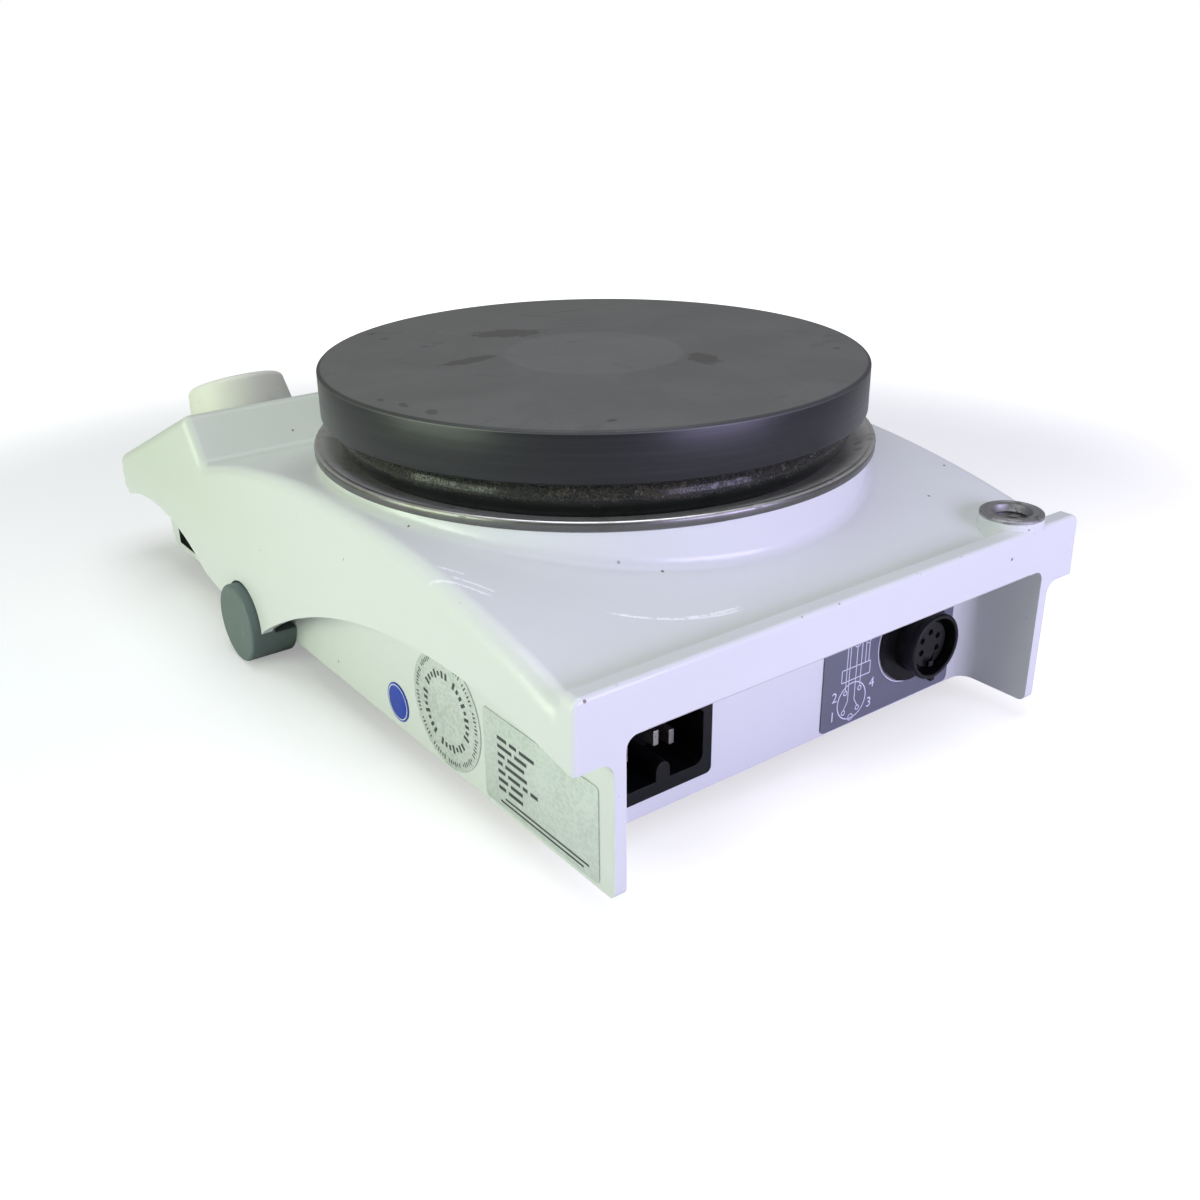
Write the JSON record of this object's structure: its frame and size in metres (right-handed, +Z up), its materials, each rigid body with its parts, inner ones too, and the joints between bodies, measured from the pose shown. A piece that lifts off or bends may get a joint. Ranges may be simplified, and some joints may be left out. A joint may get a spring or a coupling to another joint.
{
  "type": "hotplate magnetic stirrer",
  "caption": "Laboratory magnetic stirrer with a round heating plate on an arched casting, control panel, drip tray, rod boss, mains inlet and sensor socket",
  "frame": {"origin": "on the table under the centre of the outline", "axes": "+X right and +Y to the rear, seen from in front of the control panel; +Z up"},
  "size_m": [0.173, 0.277, 0.094],
  "materials": {
    "cast_shell": "hard off-white coating with scratches and brown specks",
    "plate_metal": "dark turned metal with fine rings and dull stains",
    "black_ring": "glossy black with grey dust on its shoulder",
    "steel_sheet": "worn bright sheet with heat stains",
    "steel_part": "turned steel",
    "foot_grey": "matt slate grey",
    "black_moulding": "black moulding with a slight gloss",
    "contact_metal": "plated contacts",
    "knob_pale": "pale warm grey with scuffs",
    "slate_film": "slate film with thin pale lines",
    "foil": "blank foil",
    "clear_pane": "smoked pane",
    "board_green": "lacquered board",
    "wool": "mineral wool",
    "motor_paint": "grey lacquer",
    "magnet": "plated magnet",
    "lens": "tinted lens",
    "soft_rubber": "soft black rubber",
    "zinc_sheet": "zinc plated sheet",
    "winding": "varnished winding"
  },
  "bodies": {
    "base": {"housing": "cast_shell", "heating_plate": "plate_metal", "heater_element": "steel_part", "heater_clamp": "steel_sheet", "clamp_screws": "steel_part", "insulating_ring": "black_ring", "drip_tray": "steel_sheet", "heat_shield": "steel_sheet", "insulation_disc": "wool", "plate_posts": "steel_part", "plate_screws": "steel_part", "plate_sensor": "steel_part", "rod_insert": "steel_part", "front_foot_left": "foot_grey", "front_foot_right": "foot_grey", "rear_foot_left": "soft_rubber", "rear_foot_right": "soft_rubber", "foot_screws": "steel_part", "base_plate": "zinc_sheet", "base_screws": "steel_part", "motor_can": "motor_paint", "motor_stator": "steel_part", "bearings": "steel_part", "motor_bracket": "zinc_sheet", "motor_standoffs": "steel_part", "motor_screws": "steel_part", "panel_overlay": "slate_film", "display_window": "clear_pane", "display_module": "black_moulding", "control_board": "board_green", "board_spacers": "steel_part", "board_screws": "steel_part", "heat_pot": "steel_part", "stir_pot": "steel_part", "pot_nuts": "steel_part", "rocker_frame": "black_moulding", "rocker_pivot": "steel_part", "led_lenses": "lens", "mains_inlet": "black_moulding", "inlet_pins": "contact_metal", "sensor_socket": "black_moulding", "socket_insert": "black_moulding", "socket_contacts": "contact_metal", "rear_label": "slate_film", "side_stickers": "foil", "power_board": "board_green", "power_board_spacers": "steel_part", "transformer": "winding", "capacitors": "black_moulding", "triac_heatsink": "plate_metal", "terminal_block": "foot_grey"},
    "stir_control": {"stir_knob": "knob_pale", "stir_spindle": "steel_part"},
    "heat_control": {"heat_knob": "knob_pale", "heat_spindle": "steel_part"},
    "power_control": {"power_rocker": "black_moulding"},
    "stir_rotor": {"motor_shaft": "steel_part", "motor_rotor": "steel_part", "magnet_carrier": "black_moulding", "drive_magnets": "magnet"}
  },
  "joints": [
    {"name": "stir_knob_turn", "type": "hinge", "parent": "base", "child": "stir_control", "pos_m": [0.05, -0.09797, 0.05462], "axis": [0, -0.3891, 0.9212], "range_deg": [-270, 0]},
    {"name": "heat_knob_turn", "type": "hinge", "parent": "base", "child": "heat_control", "pos_m": [-0.05, -0.09797, 0.05462], "axis": [0, -0.3891, 0.9212], "range_deg": [-270, 0]},
    {"name": "power_switch", "type": "hinge", "parent": "base", "child": "power_control", "pos_m": [0, -0.11354, 0.04522], "axis": [0, 0.9212, 0.3891], "range_deg": [-14, 0]},
    {"name": "stir_drive", "type": "hinge", "parent": "base", "child": "stir_rotor", "pos_m": [0, 0.0362, 0.04], "axis": [0, 0, 1], "continuous": true}
  ]
}
